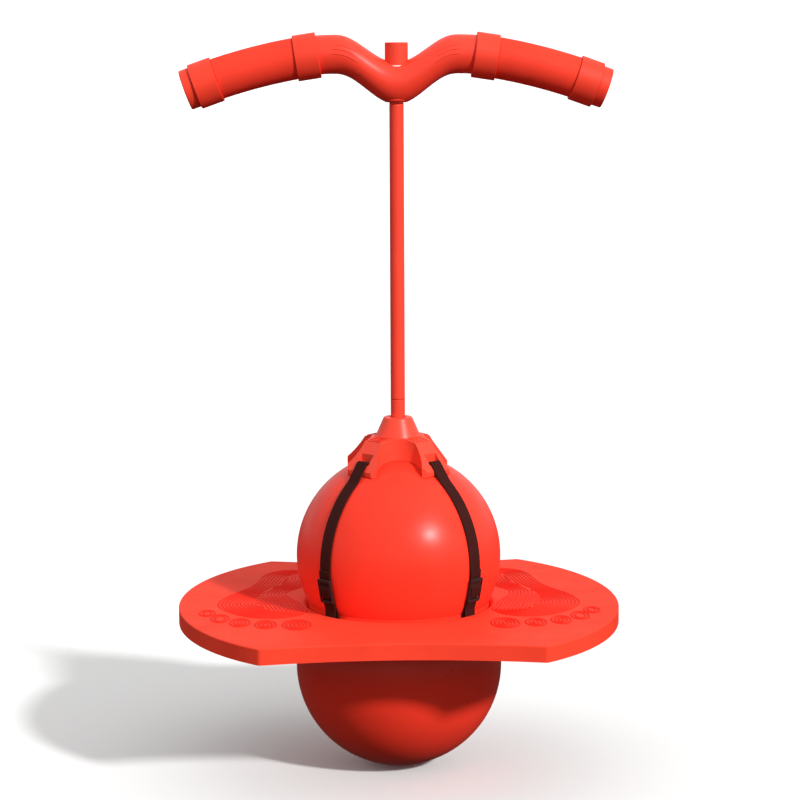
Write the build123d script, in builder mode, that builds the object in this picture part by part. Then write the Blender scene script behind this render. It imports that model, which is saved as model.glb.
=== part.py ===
"""Jumping ball with a foot deck and a handlebar on an upright pull cord.

Frame: millimetres, +Z up, origin where the ball touches the ground.
+X runs along the handlebar to the rider's one side, -Y is the front.
"""
from build123d import *
from math import acos, asin, atan2, cos, degrees, pi, radians, sin
import os

os.makedirs("parts", exist_ok=True)

# ---- driving dimensions ---------------------------------------------------
# ball: two lobes squeezed apart by the deck
lower_lobe_radius = 109.0
upper_lobe_radius = 107.8
upper_lobe_z = 226.6
ball_wall = 3.0
neck_radius = 96.0

# deck
deck_top_z = 176.0
deck_thickness = 16.5
deck_tip_x = 232.5
deck_corner_x = 141.2
deck_corner_y = 206.0
deck_waist_hollow = 16.0
deck_end_ratio = 1.19
deck_corner_rounding = 5.0
deck_hole_radius = 96.3
deck_lip_rounding = 7.0
deck_skin = 4.5
deck_wall = 5.0
deck_edge_rounding = 1.2
deck_ring_radius = 110.0
middle_ring_radius = 152.0
rib_width = 3.0
rib_count = 24

# webbing straps and their hardware, one at each diagonal
corners = {"front_left": 225.0, "front_right": 315.0, "back_right": 45.0, "back_left": 135.0}
strap_width = 15.0
strap_thickness = 1.4
strap_gap = 0.3
notch_width = 28.0
notch_radius = 103.0
pin_radius = 1.75
pin_circle = 99.4
pin_z = 163.6
pin_length = 36.0
buckle_width = 18.0
buckle_length = 26.0
buckle_thickness = 1.8
buckle_dip = 11.85

# cap on top of the ball
cap_gap = 0.5
boss_top_z = 373.6
boss_top_radius = 14.8
boss_base_z = 352.0
boss_base_radius = 24.2
leg_plateau_z = 350.6
leg_shoulder_r = 36.5
leg_tip_r = 60.0
leg_tip_z = 320.6
leg_corner = (29.6, 53.2)
leg_half_width = 22.0
arch_radius = 23.5
arch_r = 27.5
leg_lip = (3.0, 4.5)
slot_inner_r = 45.5
slot_outer_r = 53.6
slot_width = 17.0
grip_rib = (1.7, 19.0, 2.6)
first_grip_rib_r = 24.6
grip_rib_pitch = 3.6
grip_rib_drop = 0.95
cap_mouth_radius = 8.7

# pull cord and what holds it at each end
cord_radius = 7.4
cord_top_z = 699.3
foot_radius = 16.5
foot_shank_radius = 9.5
foot_bottom_z = 337.6
foot_flange_height = 4.4
foot_top_z = 369.7
foot_washer_height = 1.6
foot_chamber_radius = 17.2
running_gap = 0.05
head_flange_radius = 10.3
head_flange_height = 3.8
head_washer_height = 1.4
stopper_radius = 12.0
stopper_top_z = 762.4
stopper_roof = 6.4
seat_z = 737.5
counterbore_z = 705.2
bushing_radius = 10.0
flange_well_radius = 10.6
stopper_well_radius = 12.5

# handlebar: a dipped centre, level shoulders and two drooping arms
bar_radius = 20.0
bar_wall = 3.2
spigot_radius = 17.0
spigot_wall = 3.0
dip_half_width = 62.0
dip_centre_z = 720.7
crest_z = 750.4
dip_extra_height = 0.8
crest_end_x = 68.0
first_bend_radius = 125.0
first_bend_angle = 8.2
second_bend_radius = 573.0
inner_collar_x = (80.2, 104.0)
outer_collar_x = (184.5, 207.4)
collar_radius = 23.6
grip_radius = 21.3
end_cap_radius = 20.9
end_cap_length = 10.4

# ---- values that follow from them -----------------------------------------
deck_bottom_z = deck_top_z - deck_thickness
deck_middle_z = deck_top_z - deck_thickness / 2
ball_top_z = upper_lobe_z + upper_lobe_radius


def write(part, name):
    """Label a finished part and write its STEP file."""
    part.label = name
    export_step(part, f"parts/{name}.step")


def radial_plane(azimuth):
    """Upright plane through the ball's axis: local x is outward, local y is up."""
    a = radians(azimuth)
    return Plane(origin=(0, 0, 0), x_dir=(cos(a), sin(a), 0), z_dir=(sin(a), -cos(a), 0))


def on_upper_lobe(distance, dip):
    """Point (radius, height) this far from the upper lobe's centre, dip degrees below level."""
    d = radians(dip)
    return (distance * cos(d), upper_lobe_z - distance * sin(d))


# ---- ball -----------------------------------------------------------------
def ball_section(inset):
    """Half section of the two lobes and the neck, drawn inset from the outer skin."""
    with BuildSketch(Plane.XZ) as section:
        with Locations((0, lower_lobe_radius)):
            Circle(lower_lobe_radius - inset)
        with Locations((0, upper_lobe_z)):
            Circle(upper_lobe_radius - inset)
        with Locations((0, deck_middle_z)):
            Rectangle(2 * (neck_radius - inset), deck_thickness + 2)
        with Locations((-150, 200)):
            Rectangle(300, 500, mode=Mode.SUBTRACT)
    return section.sketch


valve_height_angle = 32.0
valve_plane = Plane(
    origin=(
        0,
        upper_lobe_radius * cos(radians(valve_height_angle)),
        upper_lobe_z + upper_lobe_radius * sin(radians(valve_height_angle)),
    ),
    x_dir=(1, 0, 0),
    z_dir=(0, cos(radians(valve_height_angle)), sin(radians(valve_height_angle))),
)
valve_seat_radius = 7.0
valve_bore_radius = 3.0
valve_head_radius = 5.6

with BuildPart() as ball:
    add(ball_section(0))
    revolve(axis=Axis.Z)
    add(ball_section(ball_wall))
    revolve(axis=Axis.Z, mode=Mode.SUBTRACT)
    with BuildSketch(valve_plane.offset(-8)):
        Circle(valve_seat_radius)
    extrude(amount=12, mode=Mode.SUBTRACT)
write(ball.part, "ball")

with BuildPart() as valve_seat:
    with BuildSketch(valve_plane.offset(-0.6)):
        Circle(valve_seat_radius)
    extrude(amount=-6)
    with BuildSketch(valve_plane.offset(-ball_wall - 0.6)):
        Circle(valve_seat_radius + 4)
    extrude(amount=-3)
    with BuildSketch(valve_plane.offset(-0.6)):
        Circle(valve_head_radius + 0.3)
    extrude(amount=-1.4, mode=Mode.SUBTRACT)
    with BuildSketch(valve_plane):
        Circle(valve_bore_radius + running_gap)
    extrude(amount=-14, mode=Mode.SUBTRACT)
write(valve_seat.part, "valve_seat")

with BuildPart() as valve_plug:
    with BuildSketch(valve_plane.offset(-1.8)):
        Circle(valve_head_radius)
    extrude(amount=1.6)
    with BuildSketch(valve_plane.offset(-1.8)):
        Circle(valve_bore_radius)
    extrude(amount=-9)
    fillet(valve_plug.edges().group_by(Axis((0, 0, 0), valve_plane.z_dir))[-1], 0.6)
write(valve_plug.part, "valve_plug")

# ---- deck -----------------------------------------------------------------
# each end is an elliptical arc through the tip and two corners, and each long side a hollow arc
corner_y_scaled = deck_corner_y / deck_end_ratio
end_depth = deck_tip_x - deck_corner_x
end_radius_x = (end_depth**2 + corner_y_scaled**2) / (2 * end_depth)
end_radius_y = end_radius_x * deck_end_ratio
end_centre_x = deck_tip_x - end_radius_x
waist_radius = (deck_corner_x**2 + deck_waist_hollow**2) / (2 * deck_waist_hollow)
waist_centre_y = deck_corner_y - deck_waist_hollow + waist_radius


def deck_outline(inset):
    """Deck seen from above, drawn inset from its rim."""
    with BuildSketch() as outline:
        with Locations((end_centre_x, 0)):
            Ellipse(end_radius_x - inset, end_radius_y - inset)
        with Locations((-500, 0)):
            Rectangle(1000, 1000, mode=Mode.SUBTRACT)
        mirror(about=Plane.YZ)
        with Locations((0, waist_centre_y), (0, -waist_centre_y)):
            Circle(waist_radius + inset, mode=Mode.SUBTRACT)
        rim_corners = [v for v in outline.vertices() if abs(v.X) > deck_corner_x / 2]
        fillet(rim_corners, deck_corner_rounding)
    return outline.sketch


with BuildSketch(Plane.XY.offset(deck_bottom_z)) as tray:
    add(deck_outline(deck_wall))
    Circle(deck_ring_radius, mode=Mode.SUBTRACT)

with BuildSketch(Plane.XY.offset(deck_bottom_z)) as ribs:
    Circle(middle_ring_radius + rib_width / 2)
    Circle(middle_ring_radius - rib_width / 2, mode=Mode.SUBTRACT)
    with PolarLocations(180, rib_count, start_angle=7.5):
        Rectangle(180, rib_width)
    add(tray.sketch, mode=Mode.INTERSECT)

with BuildPart() as deck:
    with BuildSketch(Plane.XY.offset(deck_bottom_z)):
        add(deck_outline(0))
    extrude(amount=deck_thickness)
    fillet(deck.edges().group_by(Axis.Z)[-1], deck_edge_rounding)
    add(tray.sketch)
    extrude(amount=deck_thickness - deck_skin, mode=Mode.SUBTRACT)
    add(ribs.sketch)
    extrude(amount=deck_thickness - deck_skin)
    with Locations((0, 0, deck_middle_z)):
        Cylinder(deck_hole_radius, 2 * deck_thickness, mode=Mode.SUBTRACT)
    lips = deck.edges().filter_by(GeomType.CIRCLE)
    lips = [e for e in lips if abs(e.radius - deck_hole_radius) < 0.01]
    fillet(lips, deck_lip_rounding)
    with BuildSketch(Plane.XY.offset(deck_bottom_z - 1)):
        for azimuth in corners.values():
            with Locations(Rot(0, 0, azimuth) * Pos(notch_radius - 10, 0)):
                Rectangle(20, notch_width)
    extrude(amount=deck_thickness + 2, mode=Mode.SUBTRACT)
    for azimuth in corners.values():
        with Locations(Rot(0, 0, azimuth) * Pos(pin_circle, 0, pin_z) * Rot(90, 0, 0)):
            Cylinder(pin_radius, pin_length, mode=Mode.SUBTRACT)
write(deck.part, "deck")

with BuildPart() as strap_pins:
    for azimuth in corners.values():
        with Locations(Rot(0, 0, azimuth) * Pos(pin_circle, 0, pin_z) * Rot(90, 0, 0)):
            Cylinder(pin_radius, pin_length)
write(strap_pins.part, "strap_pins")

# ---- cap ------------------------------------------------------------------
# side view of one leg: level at the boss, then sloping to a lipped tip
leg_profile = [
    (0, leg_tip_z),
    (0, boss_base_z + 2),
    (boss_base_radius, boss_base_z + 1.6),
    (leg_shoulder_r, leg_plateau_z),
    (leg_tip_r, leg_tip_z),
    (leg_tip_r - leg_lip[0], leg_tip_z - leg_lip[1]),
    (leg_tip_r - 10, 300),
    (0, 300),
]
boss_profile = [
    (0, 330),
    (boss_base_radius + 1.0, boss_base_z - 2),
    (boss_top_radius, boss_top_z),
    (0, boss_top_z),
]
# each arch between two legs is a round bay, with the legs' sides tangent to it
arch_centre_y = -arch_r - arch_radius
corner_from_arch = Vector(leg_corner[0], -leg_corner[1] - arch_centre_y)
to_tangent = acos(arch_radius / corner_from_arch.length)
tangent_angle = atan2(corner_from_arch.Y, corner_from_arch.X) + to_tangent
bay_x = arch_radius * cos(tangent_angle)
bay_y = -arch_centre_y - arch_radius * sin(tangent_angle)
bay_back = leg_corner[1] + 1
bay_plan = [
    (bay_y, -bay_x),
    (bay_back, -leg_corner[0]),
    (bay_back, leg_corner[0]),
    (bay_y, bay_x),
]

with BuildPart() as cap:
    for azimuth in corners.values():
        with BuildSketch(radial_plane(azimuth)):
            with BuildLine():
                Polyline(*leg_profile, close=True)
            make_face()
        extrude(amount=leg_half_width, both=True)
    with BuildSketch(Plane.XY.offset(290)) as legs_plan:
        Rectangle(2 * leg_corner[1], 2 * leg_corner[1])
        chamfer(legs_plan.vertices(), leg_corner[1] - leg_corner[0])
        with PolarLocations(0, 4):
            with BuildLine():
                Polyline(*bay_plan, close=True)
            make_face(mode=Mode.SUBTRACT)
        with PolarLocations(-arch_centre_y, 4):
            Circle(arch_radius, mode=Mode.SUBTRACT)
    extrude(amount=80, mode=Mode.INTERSECT)
    shoulder_lines = cap.edges().filter_by(GeomType.LINE).filter_by(
        lambda e: 330 < e.center().Z < 350 and abs(e.tangent_at(0.5).Z) > 0.5 and e.length > 20
    )
    fillet(shoulder_lines, 1.8)
    with BuildSketch(Plane.XZ):
        with BuildLine():
            Polyline(*boss_profile, close=True)
        make_face()
    revolve(axis=Axis.Z)
    fillet(cap.edges().group_by(Axis.Z)[-1], 2.0)
    for azimuth in corners.values():
        for n in range(4):
            rib_r = first_grip_rib_r + grip_rib_pitch * n
            rib_z = boss_base_z + 1.3 - grip_rib_drop * n
            with Locations(Rot(0, 0, azimuth) * Pos(rib_r, 0, rib_z)):
                Box(*grip_rib)
    with Locations((0, 0, upper_lobe_z)):
        Sphere(upper_lobe_radius + cap_gap, mode=Mode.SUBTRACT)
    for azimuth in corners.values():
        middle_r = (slot_inner_r + slot_outer_r) / 2
        with Locations(Rot(0, 0, azimuth) * Pos(middle_r, 0, 330)):
            Box(slot_outer_r - slot_inner_r, slot_width, 60, mode=Mode.SUBTRACT)
    with Locations((0, 0, ball_top_z)):
        Cylinder(foot_chamber_radius, 22.0, mode=Mode.SUBTRACT)
    with Locations((0, 0, 345)):
        Cylinder(foot_shank_radius + running_gap, 50, mode=Mode.SUBTRACT)
    with Locations((0, 0, boss_top_z)):
        Cylinder(cap_mouth_radius, 27.2, mode=Mode.SUBTRACT)
write(cap.part, "cap")

# ---- straps and buckles ---------------------------------------------------
layer = strap_thickness
inner_run = upper_lobe_radius + strap_gap + layer / 2
outer_run = inner_run + layer + 0.15
run_inside = pin_circle - pin_radius - layer / 2 - 0.05
run_outside = pin_circle + pin_radius + layer / 2 + 0.05
landing = on_upper_lobe(inner_run, -51.5)
deck_entry = on_upper_lobe(inner_run, 25.8)
buckle_end_dip = buckle_dip + degrees(buckle_length / 2 / upper_lobe_radius) + 0.3

for name, azimuth in corners.items():
    with BuildPart() as strap:
        with BuildSketch(radial_plane(azimuth)):
            with BuildLine():
                Line((52.6, 332.0), landing)
                RadiusArc(landing, deck_entry, inner_run)
                Line(deck_entry, (run_inside, 170))
                Line((run_inside, 170), (run_inside, pin_z))
                ThreePointArc(
                    (run_inside, pin_z),
                    (pin_circle, pin_z - pin_radius - layer / 2 - 0.05),
                    (run_outside, pin_z),
                )
                Line((run_outside, pin_z), on_upper_lobe(outer_run, 23.5))
                RadiusArc(
                    on_upper_lobe(outer_run, buckle_end_dip), on_upper_lobe(outer_run, 23.5), outer_run
                )
            trace(line_width=layer)
        extrude(amount=strap_width / 2, both=True)
    write(strap.part, f"strap_{name}")

    d = radians(buckle_dip)
    a = radians(azimuth)
    outward = Vector(cos(a) * cos(d), sin(a) * cos(d), -sin(d))
    lift = upper_lobe_radius + strap_gap + layer + 0.9
    with BuildPart() as buckle:
        buckle_plane = Plane(
            origin=Vector(0, 0, upper_lobe_z) + outward * lift,
            x_dir=(-sin(a), cos(a), 0),
            z_dir=outward,
        )
        with BuildSketch(buckle_plane):
            RectangleRounded(buckle_width, buckle_length, 2.0)
            with GridLocations(0, 11.6, 1, 2):
                RectangleRounded(strap_width + 0.6, 7.4, 0.8, mode=Mode.SUBTRACT)
        extrude(amount=buckle_thickness)
        fillet(buckle.faces().sort_by(Axis((0, 0, 0), outward))[-1].outer_wire().edges(), 0.7)
    write(buckle.part, f"buckle_{name}")

# ---- pull cord ------------------------------------------------------------
with BuildPart() as cord_foot:
    with BuildSketch(Plane.XY.offset(foot_bottom_z)):
        Circle(foot_radius)
    extrude(amount=foot_flange_height)
    with BuildSketch(Plane.XY.offset(foot_bottom_z)):
        Circle(foot_shank_radius)
    extrude(amount=foot_top_z - foot_bottom_z)
    fillet(cord_foot.edges().group_by(Axis.Z)[0], 1.5)
    with Locations((0, 0, boss_top_z)):
        Sphere(cord_radius + 0.1, mode=Mode.SUBTRACT)
write(cord_foot.part, "cord_foot")

with BuildPart() as foot_washer:
    with BuildSketch(Plane.XY.offset(foot_bottom_z + foot_flange_height + 0.2)):
        Circle(foot_radius)
        Circle(foot_shank_radius + 0.3, mode=Mode.SUBTRACT)
    extrude(amount=foot_washer_height)
write(foot_washer.part, "foot_washer")

with BuildPart() as pull_cord:
    with BuildSketch(Plane.XY.offset(boss_top_z)):
        Circle(cord_radius)
    extrude(amount=cord_top_z - boss_top_z)
    with Locations((0, 0, boss_top_z)):
        Sphere(cord_radius)
write(pull_cord.part, "pull_cord")

with BuildPart() as cord_head:
    with BuildSketch(Plane.XY.offset(cord_top_z)):
        Circle(cord_radius)
    extrude(amount=stopper_top_z - stopper_roof - cord_top_z)
    with BuildSketch(Plane.XY.offset(counterbore_z - head_flange_height - 0.2)):
        Circle(head_flange_radius)
    extrude(amount=head_flange_height)
write(cord_head.part, "cord_head")

with BuildPart() as head_washer:
    with BuildSketch(Plane.XY.offset(seat_z + 0.2)):
        Circle(stopper_radius)
        Circle(cord_radius + 0.2, mode=Mode.SUBTRACT)
    extrude(amount=head_washer_height)
write(head_washer.part, "head_washer")

stopper_bottom_z = seat_z + 0.2 + head_washer_height
with BuildPart() as head_stopper:
    with BuildSketch(Plane.XY.offset(stopper_bottom_z)):
        Circle(stopper_radius)
    extrude(amount=stopper_top_z - stopper_bottom_z)
    fillet(head_stopper.edges().group_by(Axis.Z)[-1], 0.8)
    with BuildSketch(Plane.XY.offset(stopper_bottom_z)):
        Circle(cord_radius)
    extrude(amount=stopper_top_z - stopper_roof - stopper_bottom_z, mode=Mode.SUBTRACT)
write(head_stopper.part, "head_stopper")

# ---- handlebar ------------------------------------------------------------
bend_end_x = crest_end_x + first_bend_radius * sin(radians(first_bend_angle))
bend_end_z = crest_z - first_bend_radius * (1 - cos(radians(first_bend_angle)))
sweep_centre_x = bend_end_x - second_bend_radius * sin(radians(first_bend_angle))
sweep_centre_z = bend_end_z - second_bend_radius * cos(radians(first_bend_angle))


def bar_line(x):
    """Height and downward slope (degrees) of the bar's centre line, on the +X side."""
    if x <= dip_half_width:
        half = (crest_z - dip_centre_z) / 2
        return dip_centre_z + half * (1 - cos(pi * x / dip_half_width)), 0.0
    if x <= crest_end_x:
        return crest_z, 0.0
    if x <= bend_end_x:
        angle = asin((x - crest_end_x) / first_bend_radius)
        return crest_z - first_bend_radius * (1 - cos(angle)), degrees(angle)
    angle = asin((x - sweep_centre_x) / second_bend_radius)
    return sweep_centre_z + second_bend_radius * cos(angle), degrees(angle)


def bar_plane(x):
    """Section plane of the bar: upright in the dip, square to the centre line on the arms."""
    height, slope = bar_line(abs(x))
    side = 1 if x >= 0 else -1
    s = radians(slope)
    return Plane(origin=(x, 0, height), x_dir=(0, 1, 0), z_dir=(cos(s), 0, -side * sin(s)))


def bar_core(inset, end_x):
    """Bar between the stations -end_x and end_x, drawn inset from its skin."""
    dip_stations = [dip_half_width * n / 8 for n in range(9)]
    crest_to_bend_x = (crest_end_x + bend_end_x) / 2
    arm_stations = [crest_end_x, crest_to_bend_x, bend_end_x, (bend_end_x + end_x) / 2, end_x]
    right = dip_stations + arm_stations
    stations = [-x for x in reversed(right[1:])] + right
    with BuildPart() as core:
        for x in stations:
            extra = dip_extra_height * (1 + cos(pi * min(abs(x), dip_half_width) / dip_half_width))
            with BuildSketch(bar_plane(x)):
                Ellipse(bar_radius - inset, bar_radius + 0.05 + extra - inset)
        loft()
    return core.part


def arm_tube(start_x, end_x, outer_radius, inner_radius):
    """Curved tube along the right arm's second bend."""
    start_slope, end_slope = bar_line(start_x)[1], bar_line(end_x)[1]
    bend_axis = Axis((sweep_centre_x, 0, sweep_centre_z), (0, 1, 0))
    with BuildPart() as tube:
        with BuildSketch(bar_plane(start_x)):
            Circle(outer_radius)
            if inner_radius:
                Circle(inner_radius, mode=Mode.SUBTRACT)
        revolve(axis=bend_axis, revolution_arc=end_slope - start_slope)
    return tube.part


spigot = arm_tube(inner_collar_x[1] - 4, outer_collar_x[1], spigot_radius, 0)
spigot_bore = arm_tube(inner_collar_x[0] + 10, outer_collar_x[1], spigot_radius - spigot_wall, 0)
left_spigot = mirror(spigot, about=Plane.YZ)
left_spigot_bore = mirror(spigot_bore, about=Plane.YZ)

with BuildPart() as handlebar:
    add(bar_core(0, inner_collar_x[1]))
    add(spigot)
    add(left_spigot)
    add(bar_core(bar_wall, inner_collar_x[0] + 14), mode=Mode.SUBTRACT)
    add(spigot_bore, mode=Mode.SUBTRACT)
    add(left_spigot_bore, mode=Mode.SUBTRACT)
    with BuildSketch(Plane.XY.offset(counterbore_z - 2)):
        Circle(bushing_radius + bar_wall)
    extrude(amount=seat_z - counterbore_z + 2)
    with BuildSketch(Plane.XY.offset(seat_z)):
        Circle(stopper_well_radius)
    extrude(amount=30, mode=Mode.SUBTRACT)
    with BuildSketch(Plane.XY.offset(counterbore_z)):
        Circle(bushing_radius)
    extrude(amount=60, mode=Mode.SUBTRACT)
    with BuildSketch(Plane.XY.offset(counterbore_z)):
        Circle(flange_well_radius)
    extrude(amount=-20, mode=Mode.SUBTRACT)
write(handlebar.part, "handlebar")

with BuildPart() as bar_bushing:
    with BuildSketch(Plane.XY.offset(counterbore_z)):
        Circle(bushing_radius)
        Circle(cord_radius + running_gap, mode=Mode.SUBTRACT)
    extrude(amount=seat_z - counterbore_z)
write(bar_bushing.part, "bar_bushing")


def chord_plane(x_range, at_end=False):
    """Plane square to the chord of the bar's bend between two stations."""
    (z0, _), (z1, _) = bar_line(x_range[0]), bar_line(x_range[1])
    start, end = Vector(x_range[0], 0, z0), Vector(x_range[1], 0, z1)
    return Plane(origin=end if at_end else start, x_dir=(0, 1, 0), z_dir=end - start)


def collar(x_range):
    """Straight ring clamped round the bar, on the chord of the bar's bend."""
    length = (chord_plane(x_range, True).origin - chord_plane(x_range).origin).length
    with BuildPart() as ring:
        with BuildSketch(chord_plane(x_range)):
            Circle(collar_radius)
        extrude(amount=length)
        chamfer(ring.edges().filter_by(GeomType.CIRCLE), 0.5)
        add(handlebar.part, mode=Mode.SUBTRACT)
        with BuildSketch(chord_plane(x_range)):
            Circle(spigot_radius - spigot_wall + 0.5)
        extrude(amount=length, both=True, mode=Mode.SUBTRACT)
    return ring.part.solids().sort_by(SortBy.VOLUME)[-1]


inner_collar = collar(inner_collar_x)
outer_collar = collar(outer_collar_x)
grip_bore_radius = spigot_radius + running_gap
grip_tube = arm_tube(inner_collar_x[1], outer_collar_x[0], grip_radius, grip_bore_radius)

with BuildPart() as grip:
    add(grip_tube)
    for plane, amount in (
        (chord_plane(inner_collar_x, True), -20),
        (chord_plane(outer_collar_x), 20),
    ):
        with BuildSketch(plane):
            Circle(2 * grip_radius)
        extrude(amount=amount, mode=Mode.SUBTRACT)

end_plane = chord_plane(outer_collar_x, True)
with BuildPart() as end_cap:
    with BuildSketch(end_plane.offset(0.4)):
        Circle(end_cap_radius)
    extrude(amount=end_cap_length - 0.4)
    fillet(end_cap.edges().sort_by(Axis(end_plane.origin, end_plane.z_dir))[-1], 1.2)
    with BuildSketch(end_plane.offset(0.4)):
        Circle(spigot_radius - spigot_wall - 0.3)
    extrude(amount=-14)

pieces = {
    "grip": grip.part,
    "inner_collar": inner_collar,
    "outer_collar": outer_collar,
    "end_cap": end_cap.part,
}
for name, piece in pieces.items():
    write(piece, f"right_{name}")
    write(mirror(piece, about=Plane.YZ), f"left_{name}")
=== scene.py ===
"""Looks of the jumping ball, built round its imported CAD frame. Metres, +Z up, -Y is the front."""
from math import asin, atan2, cos, degrees, pi, radians, sin, sqrt

import bpy
import numpy as np
from mathutils import Matrix, Vector


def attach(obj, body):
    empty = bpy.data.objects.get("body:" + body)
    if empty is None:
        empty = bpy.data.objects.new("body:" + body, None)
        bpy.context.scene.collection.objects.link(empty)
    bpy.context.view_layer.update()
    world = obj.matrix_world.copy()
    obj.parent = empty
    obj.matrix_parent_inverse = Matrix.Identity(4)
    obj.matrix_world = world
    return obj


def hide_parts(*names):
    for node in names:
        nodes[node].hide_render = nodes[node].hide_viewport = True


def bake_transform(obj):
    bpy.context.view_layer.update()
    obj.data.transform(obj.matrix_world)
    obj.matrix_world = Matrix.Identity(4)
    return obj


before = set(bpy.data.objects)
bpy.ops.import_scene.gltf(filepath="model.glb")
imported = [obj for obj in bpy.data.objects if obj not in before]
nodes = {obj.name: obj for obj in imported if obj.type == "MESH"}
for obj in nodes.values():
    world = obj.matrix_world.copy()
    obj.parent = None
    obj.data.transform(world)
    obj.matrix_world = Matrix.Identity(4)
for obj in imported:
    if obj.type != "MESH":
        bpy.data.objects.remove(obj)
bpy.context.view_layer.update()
scene = bpy.context.scene
MM = 0.001

# ---- camera ---------------------------------------------------------------
camera_data = bpy.data.cameras.new("camera")
camera_data.lens = 106.98
camera_data.sensor_width = 36.0
camera_data.clip_start = 0.05
camera_data.clip_end = 60.0
camera = bpy.data.objects.new("camera", camera_data)
scene.collection.objects.link(camera)
scene.camera = camera
pitch, yaw, roll = radians(8.198), 0.023, radians(0.25)
look = Vector((sin(yaw) * cos(pitch), cos(yaw) * cos(pitch), -sin(pitch)))
camera.location = (-0.0545, -2.4691, 0.7469)
camera.rotation_mode = "QUATERNION"
level = look.to_track_quat("-Z", "Y")
camera.rotation_quaternion = level @ Matrix.Rotation(-roll, 3, "Z").to_quaternion()

# ---- light and floor ------------------------------------------------------
scene.view_settings.view_transform = "Standard"
scene.view_settings.look = "None"


def sun(name, azimuth, elevation, strength, angle, colour=(1, 1, 1)):
    """Parallel light that comes from this azimuth (from +X) and elevation."""
    data = bpy.data.lights.new(name, "SUN")
    data.energy = strength
    data.angle = radians(angle)
    data.color = colour
    lamp = bpy.data.objects.new(name, data)
    a, e = radians(azimuth), radians(elevation)
    lamp.rotation_mode = "QUATERNION"
    lamp.rotation_quaternion = Vector((cos(a) * cos(e), sin(a) * cos(e), sin(e))).to_track_quat("Z", "Y")
    scene.collection.objects.link(lamp)
    return lamp


sun("key", -49, 30.0, 3.1, 5.0)

world = bpy.data.worlds.new("studio")
scene.world = world
world.use_nodes = True
tree = world.node_tree
tree.nodes.clear()
coords = tree.nodes.new("ShaderNodeTexCoord")
split = tree.nodes.new("ShaderNodeSeparateXYZ")
ramp = tree.nodes.new("ShaderNodeValToRGB")
background = tree.nodes.new("ShaderNodeBackground")
world_out = tree.nodes.new("ShaderNodeOutputWorld")
height = tree.nodes.new("ShaderNodeMapRange")
height.inputs["From Min"].default_value = -1.0
height.inputs["From Max"].default_value = 1.0
tree.links.new(coords.outputs["Generated"], split.inputs[0])
tree.links.new(split.outputs["Z"], height.inputs["Value"])
tree.links.new(height.outputs["Result"], ramp.inputs["Fac"])
tree.links.new(ramp.outputs["Color"], background.inputs["Color"])
tree.links.new(background.outputs[0], world_out.inputs["Surface"])
stops = ramp.color_ramp.elements
stops[0].position, stops[0].color = 0.30, (0.04, 0.04, 0.04, 1)
stops[1].position, stops[1].color = 1.0, (0.75, 0.75, 0.75, 1)
for place, level in ((0.46, 0.09), (0.50, 0.42), (0.54, 0.75)):
    stop = stops.new(place)
    stop.color = (level, level, level, 1)


# ---- material helpers -----------------------------------------------------
class Graph:
    """A node material being wired up round one Principled shader."""

    def __init__(self, name):
        self.material = bpy.data.materials.new(name)
        self.material.use_nodes = True
        self.nodes = self.material.node_tree.nodes
        self.links = self.material.node_tree.links
        self.nodes.clear()
        self.shader = self.nodes.new("ShaderNodeBsdfPrincipled")
        out = self.nodes.new("ShaderNodeOutputMaterial")
        self.links.new(self.shader.outputs[0], out.inputs["Surface"])
        self.coords = self.nodes.new("ShaderNodeTexCoord")

    def noise(self, scale, detail=3.0, rough=0.5, source="Object", stretch=None):
        n = self.nodes.new("ShaderNodeTexNoise")
        n.inputs["Scale"].default_value = scale
        n.inputs["Detail"].default_value = detail
        n.inputs["Roughness"].default_value = rough
        place = self.coords.outputs[source]
        if stretch:
            mapping = self.nodes.new("ShaderNodeMapping")
            mapping.inputs["Scale"].default_value = stretch
            self.links.new(place, mapping.inputs["Vector"])
            place = mapping.outputs[0]
        self.links.new(place, n.inputs["Vector"])
        return n.outputs["Fac"]

    def maths(self, operation, a, b):
        n = self.nodes.new("ShaderNodeMath")
        n.operation = operation
        for socket, value in zip(n.inputs, (a, b)):
            if isinstance(value, (int, float)):
                socket.default_value = value
            else:
                self.links.new(value, socket)
        return n.outputs[0]

    def to_range(self, value, low, high, from_low=0.3, from_high=0.7):
        """Noise, which mostly stays between these two values, spread over low to high."""
        n = self.nodes.new("ShaderNodeMapRange")
        n.inputs["From Min"].default_value = from_low
        n.inputs["From Max"].default_value = from_high
        n.inputs["To Min"].default_value = low
        n.inputs["To Max"].default_value = high
        self.links.new(value, n.inputs["Value"])
        return n.outputs["Result"]

    def blend_colour(self, factor, a, b):
        n = self.nodes.new("ShaderNodeMix")
        n.data_type = "RGBA"
        self.links.new(factor, n.inputs[0])
        for socket, value in zip((n.inputs[6], n.inputs[7]), (a, b)):
            if isinstance(value, tuple):
                socket.default_value = (*value, 1)
            else:
                self.links.new(value, socket)
        return n.outputs[2]

    def bump(self, value, distance, strength=1.0, after=None):
        n = self.nodes.new("ShaderNodeBump")
        n.inputs["Distance"].default_value = distance
        n.inputs["Strength"].default_value = strength
        self.links.new(value, n.inputs["Height"])
        if after is not None:
            self.links.new(after, n.inputs["Normal"])
        return n.outputs[0]

    def put(self, socket, value):
        if isinstance(value, (int, float, tuple)):
            self.shader.inputs[socket].default_value = value
        else:
            self.links.new(value, self.shader.inputs[socket])


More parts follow.
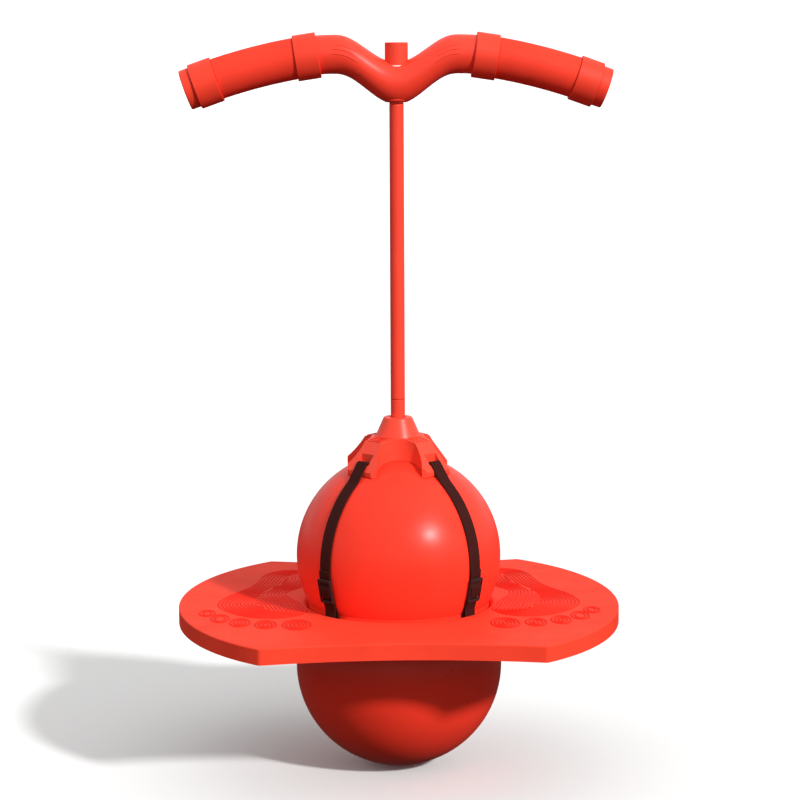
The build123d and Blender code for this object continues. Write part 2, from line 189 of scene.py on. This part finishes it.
def moulded(name, colour, rough, grain, depth, specular=0.4, mottle=0.07):
    """Moulded plastic or rubber: soft mottling, patchy gloss, fine grain and a few handling scuffs."""
    g = Graph(name)
    deep = tuple(c * (1 - 1.6 * mottle) for c in colour)
    pale = tuple(min(1.0, c * (1 + mottle)) + 0.004 for c in colour)
    broad = g.to_range(g.noise(11, 4), 0, 1, 0.25, 0.75)
    tint = g.blend_colour(broad, deep, pale)
    scuff = g.to_range(g.noise(60, 6, 0.7, stretch=(1, 1, 3.5)), 0, 1, 0.64, 0.80)
    worn = tuple(min(1.0, c * 0.93 + 0.035) for c in colour)
    g.put("Base Color", g.blend_colour(g.maths("MULTIPLY", scuff, 0.45), tint, worn))
    patch = g.to_range(g.noise(38, 5, 0.6), rough - 0.05, rough + 0.07)
    g.put("Roughness", g.maths("ADD", patch, g.maths("MULTIPLY", scuff, 0.12)))
    fine = g.noise(grain, 2, 0.6)
    wave = g.bump(g.noise(14, 2), 0.0006, 0.5)
    g.put("Normal", g.bump(fine, depth, 0.8, after=wave))
    g.put("Specular IOR Level", specular)
    return g.material


mat_ball = moulded("ball_vinyl", (0.92, 0.040, 0.018), 0.31, 900, 0.00004, 0.18, 0.03)
mat_deck = moulded("deck_plastic", (0.93, 0.054, 0.024), 0.58, 1500, 0.00010, 0.07)
mat_cap = moulded("cap_plastic", (0.92, 0.058, 0.027), 0.36, 1300, 0.00006, 0.28)
mat_bar = moulded("bar_plastic", (0.93, 0.050, 0.024), 0.34, 1300, 0.00006, 0.30)
mat_collar = moulded("collar_plastic", (0.92, 0.052, 0.024), 0.46, 1300, 0.00008, 0.2)
mat_grip = moulded("grip_rubber", (0.93, 0.048, 0.022), 0.60, 2200, 0.00008, 0.12)
mat_cord = moulded("cord_rubber", (0.92, 0.058, 0.028), 0.50, 1600, 0.00005, 0.2)
mat_tread = moulded("tread_plastic", (0.88, 0.022, 0.010), 0.60, 1800, 0.00006, 0.05)
mat_nylon = moulded("washer_nylon", (0.72, 0.70, 0.64), 0.45, 1500, 0.00005)
mat_buckle = moulded("buckle_acetal", (0.026, 0.012, 0.012), 0.55, 1800, 0.00005, 0.16, 0.2)


def brushed_steel():
    g = Graph("pin_steel")
    streak = g.noise(500, 4, 0.6, stretch=(1, 1, 0.05))
    g.put("Base Color", g.blend_colour(streak, (0.42, 0.42, 0.43), (0.62, 0.62, 0.63)))
    g.put("Roughness", g.to_range(streak, 0.25, 0.45))
    g.put("Metallic", 1.0)
    g.put("Normal", g.bump(streak, 0.00005))
    return g.material


def webbing():
    """Woven polypropylene: UV is in metres, u across the band and v along it."""
    g = Graph("strap_webbing")
    yarn = g.noise(1.0, 2, 0.6, "UV", (2600, 500, 1))
    fuzz = g.noise(1.0, 4, 0.75, "UV", (5200, 5200, 1))
    fade = g.noise(22, 3)
    dark = g.blend_colour(yarn, (0.020, 0.004, 0.003), (0.050, 0.009, 0.007))
    g.put("Base Color", g.blend_colour(g.to_range(fade, 0, 0.5), dark, (0.056, 0.011, 0.009)))
    g.put("Roughness", g.to_range(fuzz, 0.62, 0.85))
    both = g.maths("ADD", g.maths("MULTIPLY", yarn, 0.7), g.maths("MULTIPLY", fuzz, 0.5))
    g.put("Normal", g.bump(both, 0.00014, 0.9))
    g.put("Sheen Weight", 0.02)
    g.put("Sheen Roughness", 0.4)
    g.put("Specular IOR Level", 0.06)
    return g.material


def thread():
    g = Graph("strap_thread")
    twist = g.noise(1.0, 2, 0.5, "UV", (3000, 900, 1))
    g.put("Base Color", g.blend_colour(twist, (0.035, 0.020, 0.020), (0.085, 0.06, 0.058)))
    g.put("Roughness", g.to_range(twist, 0.55, 0.75))
    g.put("Normal", g.bump(twist, 0.0001))
    return g.material


def floor_paper():
    g = Graph("floor_paper")
    wash = g.noise(1.2, 3)
    g.put("Base Color", g.blend_colour(wash, (0.90, 0.90, 0.895), (0.93, 0.93, 0.925)))
    g.put("Roughness", g.to_range(g.noise(40, 3), 0.85, 0.95))
    g.put("Normal", g.bump(g.noise(300, 3), 0.0003, 0.3))
    g.put("Specular IOR Level", 0.1)
    return g.material


mat_steel = brushed_steel()
mat_web = webbing()
mat_thread = thread()
mat_floor = floor_paper()


def paint(names, material):
    """One material on solids that keep their CAD shape."""
    for name in names:
        mesh = nodes[name].data
        mesh.materials.clear()
        mesh.materials.append(material)


corners = {"front_left": 225.0, "front_right": 315.0, "back_right": 45.0, "back_left": 135.0}
sides = {"left": -1, "right": 1}
paint(["ball", "valve_seat", "valve_plug"], mat_ball)
paint(["deck"], mat_deck)
paint(["cap"], mat_cap)
paint(["handlebar"], mat_bar)
paint(["strap_pins"], mat_steel)
paint(["foot_washer", "head_washer", "bar_bushing"], mat_nylon)
paint(["cord_foot", "cord_head", "head_stopper"], mat_cord)
paint([f"buckle_{c}" for c in corners], mat_buckle)
paint([f"{s}_{p}" for s in sides for p in ("inner_collar", "outer_collar", "end_cap")], mat_collar)


# ---- mesh helpers ---------------------------------------------------------
def piece(name, verts, faces, material, uv=None):
    """New smooth mesh object from points and UVs in millimetres."""
    mesh = bpy.data.meshes.new(name)
    mesh.from_pydata([(x * MM, y * MM, z * MM) for x, y, z in verts], [], faces)
    mesh.validate()
    mesh.materials.append(material)
    if uv is not None:
        layer = mesh.uv_layers.new(name="UVMap")
        for loop in mesh.loops:
            u, v = uv[loop.vertex_index]
            layer.data[loop.index].uv = (u * MM, v * MM)
    mesh.shade_smooth()
    mesh.update()
    made = bpy.data.objects.new(name, mesh)
    scene.collection.objects.link(made)
    return made


def tube_faces(rings, around, closed_ends=True):
    """Faces of a tube whose rings of points follow one another."""
    faces = []
    for i in range(rings - 1):
        for j in range(around):
            k = (j + 1) % around
            faces.append((i * around + j, i * around + k, (i + 1) * around + k, (i + 1) * around + j))
    if closed_ends:
        faces.append(tuple(reversed(range(around))))
        faces.append(tuple((rings - 1) * around + j for j in range(around)))
    return faces


# ---- floor ----------------------------------------------------------------
def make_floor():
    """Paper sweep: flat round the object and rising all round, far beyond it."""
    rim = [
        (0.02, 0), (0.5, 0), (1.5, 0), (4.0, 0), (6.0, 0),
        (7.5, 0), (8.6, 0.35), (9.3, 1.1), (9.6, 2.2), (9.7, 6),
    ]
    around = 96
    drop = 0.3
    verts = []
    for r, z in rim:
        for j in range(around):
            a = 2 * pi * j / around
            verts.append((r * cos(a) / MM, r * sin(a) / MM, z / MM - drop))
    middle = tuple(reversed(range(around)))
    made = piece("floor", verts, tube_faces(len(rim), around, False) + [middle], mat_floor)
    # the paper takes the object's shadow and does nothing to the object's own light
    made.visible_diffuse = False
    made.visible_glossy = False
    made.visible_shadow = False


make_floor()

# ---- straps, in millimetres -----------------------------------------------
lobe_z, lobe_r = 226.6, 107.8
web_w, web_t = 15.0, 1.4
web_gap = 0.3
skim = 0.05
inner_run = lobe_r + web_gap + web_t / 2
pin_circle, pin_r, pin_z = 99.4, 1.75, 163.6
landing_dip, entry_dip, return_dip = -51.5, 25.8, 23.5
tail_length = 21.0
buckle_dip = 11.85
buckle_floor = lobe_r + web_gap + web_t + 0.9
buckle_top = buckle_floor + 1.8


def on_lobe(distance, dip):
    """Radius and height of a point this far from the upper lobe's centre, dip degrees below level."""
    d = radians(dip)
    return (distance * cos(d), lobe_z - distance * sin(d))


def smooth_step(t):
    t = min(1.0, max(0.0, t))
    return t * t * (3 - 2 * t)


def strap_path():
    """Middle line of one strap from the cap's slot to its tail: (radius, height, thickness)."""
    path = [(49.6, 324.4, web_t), (49.8, 327.0, web_t), (50.2, 329.6, web_t), (50.9, 331.5, web_t)]
    path += [(51.9, 332.2, web_t), (52.9, 331.5, web_t)]
    start, landing = (53.9, 330.25), on_lobe(inner_run, landing_dip)
    for n in range(9):
        t = n / 8
        r = start[0] + (landing[0] - start[0]) * t
        path.append((r, start[1] + (landing[1] - start[1]) * t, web_t))
    for n in range(1, 80):
        path.append((*on_lobe(inner_run, landing_dip + (entry_dip - landing_dip) * n / 79), web_t))
    loop = pin_r + web_t / 2 + skim
    inside, outside = pin_circle - loop, pin_circle + loop
    path += [(inside, 172.0, web_t), (inside, 168.0, web_t), (inside, pin_z, web_t)]
    for n in range(1, 12):
        a = pi + pi * n / 12
        path.append((pin_circle + loop * cos(a), pin_z + loop * sin(a), web_t))
    path += [(outside, pin_z, web_t), (outside + 0.2, 171.5, web_t)]
    low, high = return_dip, buckle_dip - degrees(tail_length / lobe_r)
    steps = 60
    for n in range(steps + 1):
        dip = low + (high - low) * n / steps
        along = radians(buckle_dip - dip) * lobe_r
        # over the buckle's middle bar, under its two end bars
        over = smooth_step((9.6 - abs(along)) / 7.2)
        under = smooth_step((15.5 - abs(along)) / 3.0)
        thick = web_t - 0.5 * under * (1 - over) - 0.25 * smooth_step((along - 13) / 3)
        base = lobe_r + web_gap + web_t + skim + thick / 2
        path.append((*on_lobe(base + (buckle_top + thick / 2 - base + skim) * over, dip), thick))
    return path


def resample(path, step):
    """Points at even spacing along a path, which is smoothed at its corners."""
    p = np.array(path, float)
    for _ in range(2):
        p = np.vstack([p[:1], (p[:-2] + 2 * p[1:-1] + p[2:]) / 4, p[-1:]])
    run = np.concatenate([[0], np.cumsum(np.hypot(*np.diff(p[:, :2], axis=0).T))])
    at = np.linspace(0, run[-1], int(run[-1] / step) + 1)
    return np.column_stack([np.interp(at, run, p[:, k]) for k in range(p.shape[1])]), at


def weave(u, s):
    """Relief of a herringbone band, in millimetres."""
    half_lane, rib_pitch, slant = 3.75, 1.7, 0.95
    lane = abs(((u + web_w / 2) % (2 * half_lane)) - half_lane) / half_lane
    wave = abs(2 * ((s / rib_pitch + slant * lane) % 1.0) - 1)
    return 0.11 * wave - 0.05


def make_strap(corner, azimuth):
    """One woven band with rounded selvedges, and the bar tack that holds its tail."""
    line, run = resample(strap_path(), 0.55)
    tangent = np.gradient(line[:, :2], axis=0)
    tangent /= np.linalg.norm(tangent, axis=1)[:, None]
    normal = np.column_stack([tangent[:, 1] * -1, tangent[:, 0]])
    columns = np.linspace(-1, 1, 29) * web_w / 2
    selvedge = 0.7
    a = radians(azimuth)
    out, across = np.array([cos(a), sin(a)]), np.array([-sin(a), cos(a)])
    verts, uvs = [], []
    count = len(columns)
    for (r, z, thick), n, s in zip(line, normal, run):
        for face in (1, -1):
            for u in columns if face > 0 else columns[::-1]:
                edge = max(0.0, abs(u) - (web_w / 2 - selvedge)) / selvedge
                half = thick / 2 * sqrt(max(0.05, 1 - 0.85 * edge * edge))
                half += weave(u, s) * (1 - edge) * 0.8
                wobble = 0.05 * sin(s * 0.9 + u)
                q = np.array([r, z]) + n * face * half
                ground = out * q[0] + across * (u + wobble * edge)
                verts.append((ground[0], ground[1], q[1]))
                uvs.append((u if face > 0 else u + 40, s))
    faces = tube_faces(len(line), 2 * count)
    made = piece(f"webbing_{corner}", verts, faces, mat_web, uv=uvs)
    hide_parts(f"strap_{corner}")
    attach(made, "ball_and_deck")

    verts, faces, uvs = [], [], []
    thread_r, rings, around = 0.28, 7, 6

    def at(table, s):
        """Row of a table at this length along the band."""
        return np.array([np.interp(s, run, column) for column in table.T])

    def stitch(u0, s0, u1, s1):
        """One raised stitch on the outside face of the band."""
        base = len(verts)
        side = Vector((s1 - s0, u0 - u1)).normalized()
        for t in np.linspace(0, 1, rings):
            u, s = u0 + (u1 - u0) * t, s0 + (s1 - s0) * t
            r, z, thick = at(line, s)
            n, ahead = at(normal, s), at(tangent, s)
            lift = thick / 2 - 0.10 + 0.30 * sin(pi * t)
            for j in range(around):
                b = 2 * pi * j / around
                du, dn = thread_r * cos(b), thread_r * sin(b)
                q = np.array([r, z]) + n * (lift + dn) + ahead * du * side[1]
                ground = out * q[0] + across * (u + du * side[0])
                verts.append((ground[0], ground[1], q[1]))
                uvs.append((u, s))
        for f in tube_faces(rings, around):
            faces.append(tuple(base + i for i in f))

    tack = run[-1] - 4.0
    for k in range(9):
        u = -5.4 + 1.35 * k
        for row in (0.0, 1.9):
            stitch(u - 0.5, tack + row, u + 0.5, tack + row + 0.9)
    made = piece(f"stitching_{corner}", verts, faces, mat_thread, uv=uvs)
    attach(made, "ball_and_deck")


for corner, azimuth in corners.items():
    make_strap(corner, azimuth)


# ---- footprints, in millimetres on the deck -------------------------------
deck_top = 176.0
tread_pitch = 3.9
tread_margin = 104.6
# outline of the right sole: ball of the foot, outer edge, heel, arch
sole = [
    (94, -42), (100, -60), (110, -72), (124, -79), (139, -79), (155, -74), (169, -62), (183, -43),
    (192, -22), (192, 0), (185, 22), (174, 43), (163, 62), (156, 82), (152, 104), (149, 124),
    (143, 140), (132, 151), (118, 155), (105, 153), (96, 145), (91, 130), (91, 110), (94, 88),
    (101, 70), (110, 58), (118, 47), (121, 34), (117, 20), (108, 0), (99, -22),
]
# middle and two half widths of each toe, big toe first
toes = [
    (106.3, -106.5, 15.6, 23.5), (138.0, -104.5, 11.9, 18.5), (164.5, -94.8, 11.4, 19.2),
    (185.6, -76.8, 10.4, 18.3), (200.1, -52.2, 9.5, 15.0),
]


def rounded(points, rounds=3):
    """Corner-cut closed polygon."""
    p = np.array(points, float)
    for _ in range(rounds):
        q = np.roll(p, -1, axis=0)
        p = np.column_stack([0.75 * p + 0.25 * q, 0.25 * p + 0.75 * q]).reshape(-1, 2)
    return p


def ellipse(cx, cy, rx, ry):
    a = np.linspace(0, 2 * pi, 72, endpoint=False)
    return np.column_stack([cx + rx * np.cos(a), cy + ry * np.sin(a)])


def depth_field(outline, xs, ys):
    """How far inside an outline, and clear of the ball, each grid point lies; negative outside."""
    gx, gy = np.meshgrid(xs, ys)
    best = np.full(gx.shape, 1e9)
    inside = np.zeros(gx.shape, bool)
    ends = np.roll(outline, -1, axis=0)
    for (x0, y0), (x1, y1) in zip(outline, ends):
        dx, dy = x1 - x0, y1 - y0
        t = np.clip(((gx - x0) * dx + (gy - y0) * dy) / (dx * dx + dy * dy), 0, 1)
        best = np.minimum(best, np.hypot(gx - x0 - t * dx, gy - y0 - t * dy))
        if y0 != y1:
            inside ^= ((y0 > gy) != (y1 > gy)) & (gx < x0 + (gy - y0) * dx / dy)
    field = np.where(inside, best, -best)
    return np.minimum(field, np.hypot(gx, gy) - tread_margin)


def contours(field, xs, ys, level):
    """Closed lines along which a field has this level."""
    inside = field > level
    links = {}

    def crossing(i, j, k, m):
        a, b = field[i, j], field[k, m]
        t = (level - a) / (b - a)
        return (xs[j] + (xs[m] - xs[j]) * t, ys[i] + (ys[k] - ys[i]) * t)

    sides_of = ((0, 0, 0, 1), (0, 1, 1, 1), (1, 1, 1, 0), (1, 0, 0, 0))
    busy = inside[:-1, :-1].astype(int) + inside[1:, :-1] + inside[:-1, 1:] + inside[1:, 1:]
    places = {}
    for i, j in np.argwhere((busy > 0) & (busy < 4)):
        cuts = []
        for a, b, c, d in sides_of:
            p, q = (i + a, j + b), (i + c, j + d)
            if inside[p] != inside[q]:
                key = (min(p, q), max(p, q))
                places[key] = crossing(*min(p, q), *max(p, q))
                cuts.append(key)
        for n in range(0, len(cuts) - 1, 2):
            links.setdefault(cuts[n], []).append(cuts[n + 1])
            links.setdefault(cuts[n + 1], []).append(cuts[n])
    lines, used = [], set()
    for first in links:
        if first in used:
            continue
        line, here = [], first
        while here is not None:
            used.add(here)
            line.append(places[here])
            here = next((k for k in links[here] if k not in used), None)
        if len(line) > 10:
            lines.append(np.array(line))
    return lines


def even(line, step):
    """A closed line smoothed and sampled at even spacing."""
    for _ in range(6):
        line = (np.roll(line, 1, axis=0) + 2 * line + np.roll(line, -1, axis=0)) / 4
    loop = np.vstack([line, line[:1]])
    run = np.concatenate([[0], np.cumsum(np.hypot(*np.diff(loop, axis=0).T))])
    count = max(10, int(run[-1] / step))
    at = np.linspace(0, run[-1], count, endpoint=False)
    return np.column_stack([np.interp(at, run, loop[:, k]) for k in range(2)])


def make_footprint(side, sign):
    """Raised contour ridges of one foot, toes to the front."""
    flank = [(1.30, -0.25), (1.02, 0.18), (0.42, 0.78)]
    section = [(-x, up) for x, up in flank] + [(0.0, 0.86)] + flank[::-1]
    m = len(section)
    grid = 0.8
    verts, faces = [], []
    for outline in [rounded(sole)] + [ellipse(*toe) for toe in toes]:
        low, high = outline.min(0) - 2, outline.max(0) + 2
        xs, ys = np.arange(low[0], high[0], grid), np.arange(low[1], high[1], grid)
        field = depth_field(outline, xs, ys)
        level = 1.3
        while level < field.max() - 1.0:
            for line in contours(field, xs, ys, level):
                line = even(line, 1.6)
                ahead = np.roll(line, -1, axis=0) - np.roll(line, 1, axis=0)
                ahead /= np.maximum(1e-9, np.hypot(*ahead.T))[:, None]
                base, n = len(verts), len(line)
                for (x, y), (tx, ty) in zip(line, ahead):
                    for across, up in section:
                        verts.append((sign * (x + ty * across), y - tx * across, deck_top + up))
                for i in range(n):
                    here, there = base + i * m, base + (i + 1) % n * m
                    for j in range(m):
                        p = (j + 1) % m
                        quad = (here + j, here + p, there + p, there + j)
                        faces.append(quad if sign > 0 else tuple(reversed(quad)))
            level += tread_pitch
    made = piece(f"tread_{side}", verts, faces, mat_tread)
    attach(made, "ball_and_deck")


for side, sign in sides.items():
    make_footprint(side, sign)

# ---- handlebar, in millimetres --------------------------------------------
bar_r, sleeve_r, sleeve_bore_r = 20.0, 21.12, 17.1
dip_half, dip_z, crest_z, crest_end = 62.0, 720.7, 750.4, 68.0
bend1_r, bend1 = 125.0, radians(8.2)
bend2_r = 573.0
bend_x = crest_end + bend1_r * sin(bend1)
bend_z = crest_z - bend1_r * (1 - cos(bend1))
sweep_x, sweep_z = bend_x - bend2_r * sin(bend1), bend_z - bend2_r * cos(bend1)
inner_collar = (80.2, 104.0)
outer_collar = (184.5, 207.4)


def bar_line(x):
    """Height and downward slope (radians) of the right arm's middle line."""
    if x <= dip_half:
        return dip_z + (crest_z - dip_z) / 2 * (1 - cos(pi * x / dip_half)), 0.0
    if x <= crest_end:
        return crest_z, 0.0
    if x <= bend_x:
        a = asin((x - crest_end) / bend1_r)
        return crest_z - bend1_r * (1 - cos(a)), a
    a = asin((x - sweep_x) / bend2_r)
    return sweep_z + bend2_r * cos(a), a


def chord_slope(span):
    """Downward slope of the straight line between a collar's two ends."""
    (z0, _), (z1, _) = bar_line(span[0]), bar_line(span[1])
    return atan2(z0 - z1, span[1] - span[0])


def make_grip(side, sign):
    """Rubber sleeve with a fine raised diamond texture between plain end bands."""
    a0, a1 = bar_line(inner_collar[1])[1], bar_line(outer_collar[0])[1]
    s0, s1 = chord_slope(inner_collar), chord_slope(outer_collar)
    length = bend2_r * (a1 - a0)
    rows, around = int(length / 0.52), 264
    lanes, diamond = 66, 2.03
    verts, uvs = [], []
    for i in range(rows + 1):
        t = i / rows
        a = a0 + (a1 - a0) * t
        cx, cz = sweep_x + bend2_r * sin(a), sweep_z + bend2_r * cos(a)
        slope = s0 + (s1 - s0) * t
        s = length * t
        band = smooth_step((min(s, length - s) - 1.4) / 0.8)
        lip = 0.35 * smooth_step(1 - min(s, length - s) / 0.7)
        for j in range(around):
            b = 2 * pi * j / around
            turn = lanes * b / (2 * pi)
            row = s / diamond
            left = abs(2 * ((turn + row) % 1.0) - 1)
            right = abs(2 * ((turn - row) % 1.0) - 1)
            relief = 0.26 * min(left, right) ** 0.8 * band
            r = sleeve_r + relief - lip + 0.12 * (1 - band)
            up, out = r * sin(b), r * cos(b)
            x = cx + up * sin(slope)
            z = cz + up * cos(slope)
            verts.append((sign * x, out, z))
            uvs.append((b * 21.3, s))
    # inner rings close the sleeve against the bar
    for t, a, slope in ((1, a1, s1), (0, a0, s0)):
        cx, cz = sweep_x + bend2_r * sin(a), sweep_z + bend2_r * cos(a)
        for j in range(around):
            b = 2 * pi * j / around
            up, out = sleeve_bore_r * sin(b), sleeve_bore_r * cos(b)
            verts.append((sign * (cx + up * sin(slope)), out, cz + up * cos(slope)))
            uvs.append((b * 17, length * t))
    rings = rows + 3
    faces = tube_faces(rings, around, False)
    last = (rings - 1) * around
    for j in range(around):
        k = (j + 1) % around
        faces.append((last + j, last + k, k, j))
    if sign > 0:
        faces = [tuple(reversed(f)) for f in faces]
    made = piece(f"sleeve_{side}", verts, faces, mat_grip, uv=uvs)
    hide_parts(f"{side}_grip")
    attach(made, "handle")


def make_shoulder_lines(side, sign):
    """Three short raised lines along the front of the bar's shoulder."""
    section = [(-1.0, -0.3), (-0.62, 0.28), (0.0, 0.55), (0.62, 0.28), (1.0, -0.3)]
    verts, faces = [], []
    for angle, x0, x1 in ((29, 37.0, 64.5), (15, 41.0, 66.5), (1, 38.5, 67.0)):
        base, count = len(verts), 41
        for n in range(count):
            t = n / (count - 1)
            x = x0 + (x1 - x0) * t
            z, _ = bar_line(x)
            size = sqrt(max(0.0, 1 - abs(2 * t - 1) ** 6)) * 0.9 + 0.08
            extra = 0.8 * (1 + cos(pi * min(x, dip_half) / dip_half))
            half_height = bar_r + 0.05 + extra
            for across, up in section:
                a = radians(angle) + across * size / bar_r
                lift = up * size if up > 0 else up
                verts.append((sign * x, -(bar_r + lift) * cos(a), z + (half_height + lift) * sin(a)))
        for face in tube_faces(count, len(section)):
            face = tuple(base + i for i in face)
            faces.append(face if sign > 0 else tuple(reversed(face)))
    made = piece(f"shoulder_lines_{side}", verts, faces, mat_bar)
    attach(made, "handle")


for side, sign in sides.items():
    make_grip(side, sign)
    make_shoulder_lines(side, sign)

# ---- pull cord, in millimetres --------------------------------------------
cord_r, pivot_z, join_z, cord_top = 7.4, 373.6, 392.0, 699.3


def make_cord(name, levels):
    """Round rubber cord with a faint mould line down each side."""
    around = 72
    seamed_from_r = 6
    verts = []
    for radius, z in levels:
        for j in range(around):
            t = 2 * pi * j / around
            seam = 0.10 * max(0.0, 1 - abs(sin(t)) / 0.09)
            r = radius + (seam if radius > seamed_from_r else 0)
            verts.append((r * cos(t), r * sin(t), z))
    made = piece(name, verts, tube_faces(len(levels), around), mat_cord)
    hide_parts("pull_cord")
    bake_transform(made)


bulb = [(cord_r * cos(t), pivot_z + cord_r * sin(t)) for t in np.linspace(-1.45, 0, 12)]
neck = [(cord_r, z) for z in np.linspace(pivot_z, join_z, 24)[1:]]
make_cord("cord_lower", bulb + neck)
shaft = [(cord_r, z) for z in np.linspace(join_z, cord_top, 160)]
make_cord("cord_upper", shaft)
